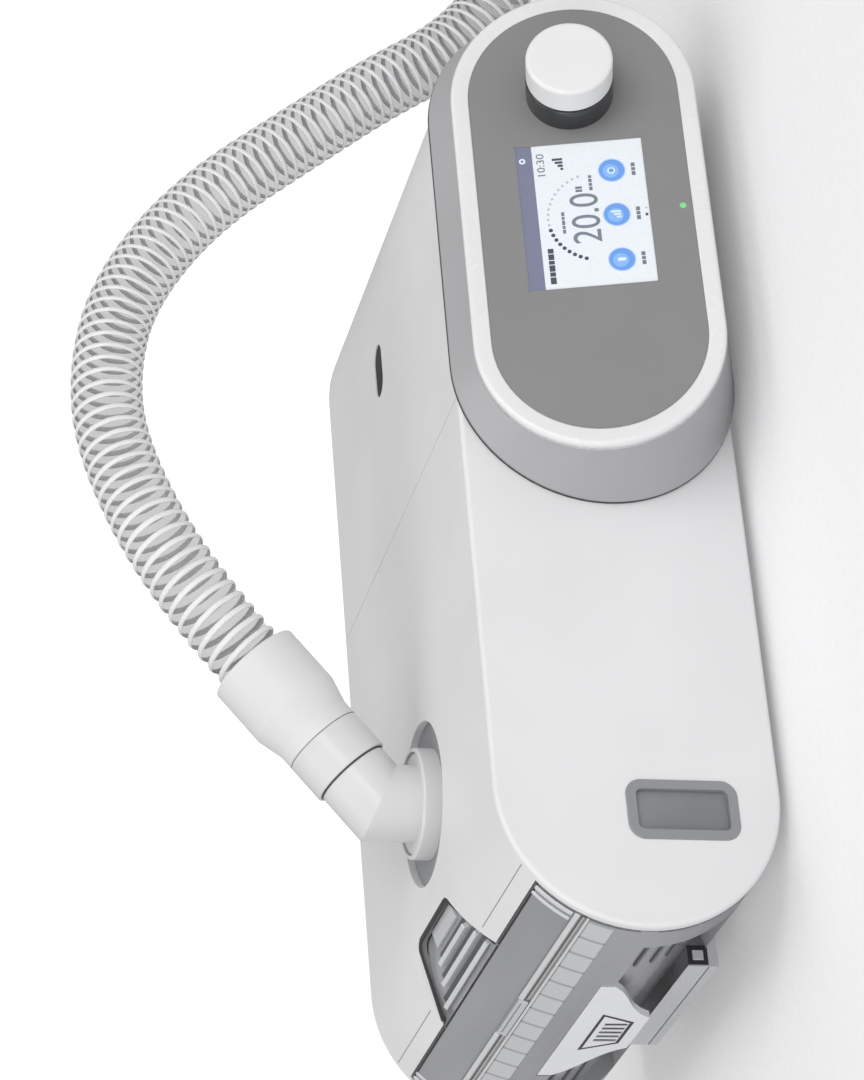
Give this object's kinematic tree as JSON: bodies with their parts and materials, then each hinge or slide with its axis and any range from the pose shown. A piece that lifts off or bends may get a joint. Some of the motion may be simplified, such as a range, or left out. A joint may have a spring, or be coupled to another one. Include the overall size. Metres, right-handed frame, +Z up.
{
  "type": "cpap machine",
  "caption": "Bedside airway-pressure machine with a slide-out humidifier tank, a tilted control pod with screen and press-and-turn knob, and a corrugated air hose on a swivel elbow",
  "frame": {"origin": "on the standing surface, under the middle of the machine without its hose", "axes": "+X to the machine's right and along its longest side, -Y to its front, +Z up"},
  "size_m": [0.7399, 0.3298, 0.2103],
  "materials": {
    "shell_white": "satin",
    "base_white": "satin",
    "bezel_grey": "satin",
    "smoky_clear": "polished",
    "dish_grey": "matte",
    "fitting_white": "satin",
    "seal_silicone": "matte",
    "foam_dark": "matte",
    "filter_grey": "woven",
    "cuff_white": "matte",
    "button_black": "gloss",
    "hose_white": "satin",
    "tank_smoke": "polished",
    "tank_frame": "satin",
    "latch_grey": "satin",
    "plate_metal": "brushed",
    "pad_dark": "matte",
    "tray_black": "matte",
    "spring_steel": "drawn",
    "pod_white": "satin",
    "rim_white": "gloss",
    "panel_grey": "satin",
    "screen_face": "polished",
    "screen_body": "matte",
    "board_green": "satin",
    "lamp_green": "polished",
    "knob_white": "satin",
    "collar_dark": "gloss",
    "shaft_steel": "turned",
    "blower_grey": "satin",
    "impeller_white": "satin",
    "motor_body": "turned",
    "mount_rubber": "matte"
  },
  "bodies": {
    "machine": {"air_box": "tray_black", "air_filter": "filter_grey", "blower_lower": "blower_grey", "blower_mounts": "mount_rubber", "blower_upper": "blower_grey", "button_switch": "tray_black", "case_screws": "spring_steel", "display_board": "board_green", "display_module": "screen_body", "display_window": "screen_face", "elbow": "fitting_white", "encoder_body": "tray_black", "feet": "mount_rubber", "flow_sensor": "tray_black", "front_panel": "panel_grey", "heater_pad": "pad_dark", "heater_plate": "plate_metal", "heater_springs": "spring_steel", "heater_tray": "tray_black", "hose": "hose_white", "hose_coil": "hose_white", "hose_cuff": "cuff_white", "humidifier_base": "base_white", "humidifier_shell": "shell_white", "inlet_seal": "foam_dark", "knob_collar": "collar_dark", "light_pipe": "lamp_green", "main_base": "base_white", "main_board": "board_green", "main_shell": "shell_white", "mask_cuff": "cuff_white", "motor": "motor_body", "motor_bearings": "shaft_steel", "muffler_foam": "foam_dark", "outlet_dish": "dish_grey", "outlet_duct": "seal_silicone", "outlet_port": "fitting_white", "outlet_seal": "seal_silicone", "panel_rim": "rim_white", "pod_shell": "pod_white", "power_socket": "tray_black", "window_bezel": "bezel_grey", "window_pane": "smoky_clear"},
    "knob_press": {"switch_plunger": "tray_black"},
    "knob": {"knob_cap": "knob_white", "knob_shaft": "shaft_steel"},
    "tank": {"tank_tub": "tank_smoke", "tank_lid": "tank_smoke", "tank_seal": "seal_silicone", "tank_base": "tank_frame", "tank_heat_base": "plate_metal"},
    "latch": {"tank_latch": "latch_grey"},
    "rotor": {"impeller": "impeller_white", "motor_shaft": "shaft_steel"},
    "sleeve": {"swivel_sleeve": "fitting_white"},
    "filter_door": {"filter_cover": "base_white"},
    "port_door": {"port_cover": "base_white"},
    "button": {"start_button": "button_black"}
  },
  "joints": [
    {"name": "knob_press", "type": "slide", "parent": "machine", "child": "knob_press", "axis": [0, 0.965, -0.2622], "range_m": [0, 0.001], "stiffness_N_per_m": 3000, "springref_m": -0.0005},
    {"name": "knob_turn", "type": "hinge", "parent": "knob_press", "child": "knob", "pos_m": [0.1224, -0.10161, 0.05848], "axis": [0, -0.965, 0.2622], "continuous": true},
    {"name": "tank_slide", "type": "slide", "parent": "machine", "child": "tank", "axis": [-1, 0, 0], "range_m": [0, 0.125]},
    {"name": "tank_latch_press", "type": "slide", "parent": "tank", "child": "latch", "axis": [1, 0, 0], "range_m": [0, 0.0018], "stiffness_N_per_m": 2000, "springref_m": -0.0005},
    {"name": "start_press", "type": "slide", "parent": "machine", "child": "button", "axis": [0, 0, -1], "range_m": [0, 0.0008], "stiffness_N_per_m": 2500, "springref_m": -0.0005},
    {"name": "impeller_spin", "type": "hinge", "parent": "machine", "child": "rotor", "pos_m": [0.0725, 0.02555, 0.0525], "axis": [0, 0, 1], "continuous": true},
    {"name": "sleeve_turn", "type": "hinge", "parent": "machine", "child": "sleeve", "pos_m": [-0.0747, 0.02115, 0.12539], "axis": [0.7859, 0, 0.6184], "continuous": true},
    {"name": "filter_door_hinge", "type": "hinge", "parent": "machine", "child": "filter_door", "pos_m": [0.0905, 0.11435, 0.06985], "axis": [-1, 0, 0], "range_deg": [0, 95]},
    {"name": "port_door_hinge", "type": "hinge", "parent": "machine", "child": "port_door", "pos_m": [0.0485, 0.11435, 0.0278], "axis": [-1, 0, 0], "range_deg": [0, 95]}
  ]
}
